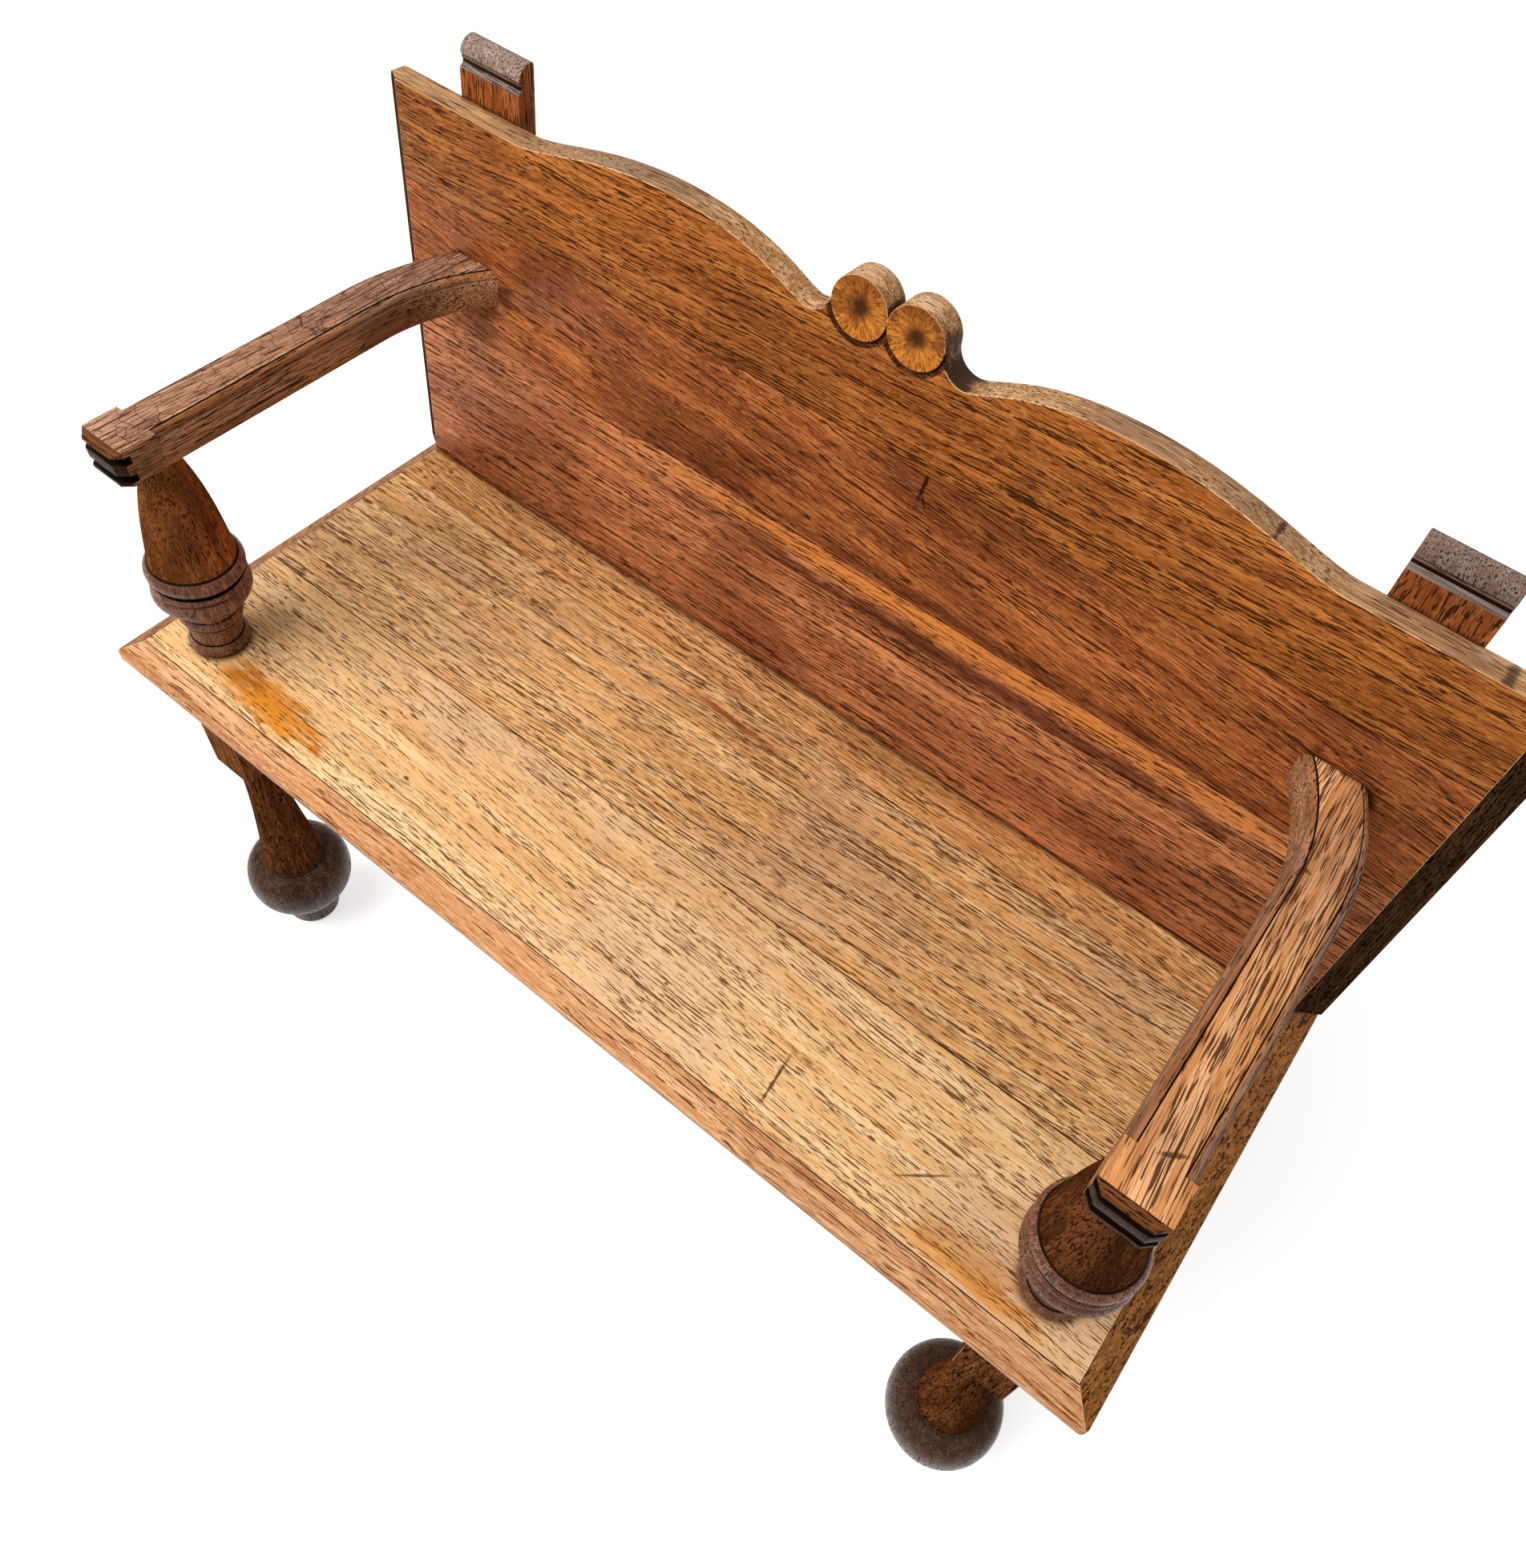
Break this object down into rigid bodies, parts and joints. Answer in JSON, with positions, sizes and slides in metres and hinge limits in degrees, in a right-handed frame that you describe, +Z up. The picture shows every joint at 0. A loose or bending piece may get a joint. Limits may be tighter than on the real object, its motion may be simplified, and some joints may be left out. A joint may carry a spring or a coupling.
{
  "type": "deacons bench",
  "caption": "Oak bench with a shaped plank back, level arms on turned supports and turned front legs on bun feet.",
  "frame": {"origin": "on the floor, midway between the ends and midway between the foremost and rearmost points", "axes": "+X along the seat to the sitter's left, which is the right side seen from the front; +Y from the front of the seat to its back; +Z up"},
  "size_m": [1.014, 0.4352, 0.8868],
  "materials": {
    "seat_oak": "waxed quarter-sawn oak, honey coloured",
    "back_oak": "stained and polished oak, red-brown",
    "frame_oak": "stained and polished oak, dark brown",
    "bun_oak": "turned oak, very dark brown polish",
    "plain_oak": "unfinished oak",
    "pine": "bare softwood",
    "beech": "bare beech dowel",
    "steel": "dull steel wood screw"
  },
  "bodies": {
    "root": {"seat_front_board": "seat_oak", "seat_middle_board": "seat_oak", "seat_rear_board": "seat_oak", "back_lower_board": "back_oak", "back_middle_board": "back_oak", "back_top_board": "back_oak", "rear_post_left": "frame_oak", "rear_post_right": "frame_oak", "arm_left": "frame_oak", "arm_right": "frame_oak", "arm_support_left": "frame_oak", "arm_support_right": "frame_oak", "front_leg_left": "frame_oak", "front_leg_right": "frame_oak", "bun_foot_left": "bun_oak", "bun_foot_right": "bun_oak", "rear_leg_left": "frame_oak", "rear_leg_right": "frame_oak", "side_rail_left": "plain_oak", "side_rail_right": "plain_oak", "front_rail": "plain_oak", "rear_rail": "plain_oak", "glue_blocks": "pine", "seat_dowels": "beech", "back_dowels": "beech", "back_foot_dowels": "beech", "post_screws": "steel", "arm_screws": "steel", "glue_block_screws": "steel"}
  },
  "joints": []
}
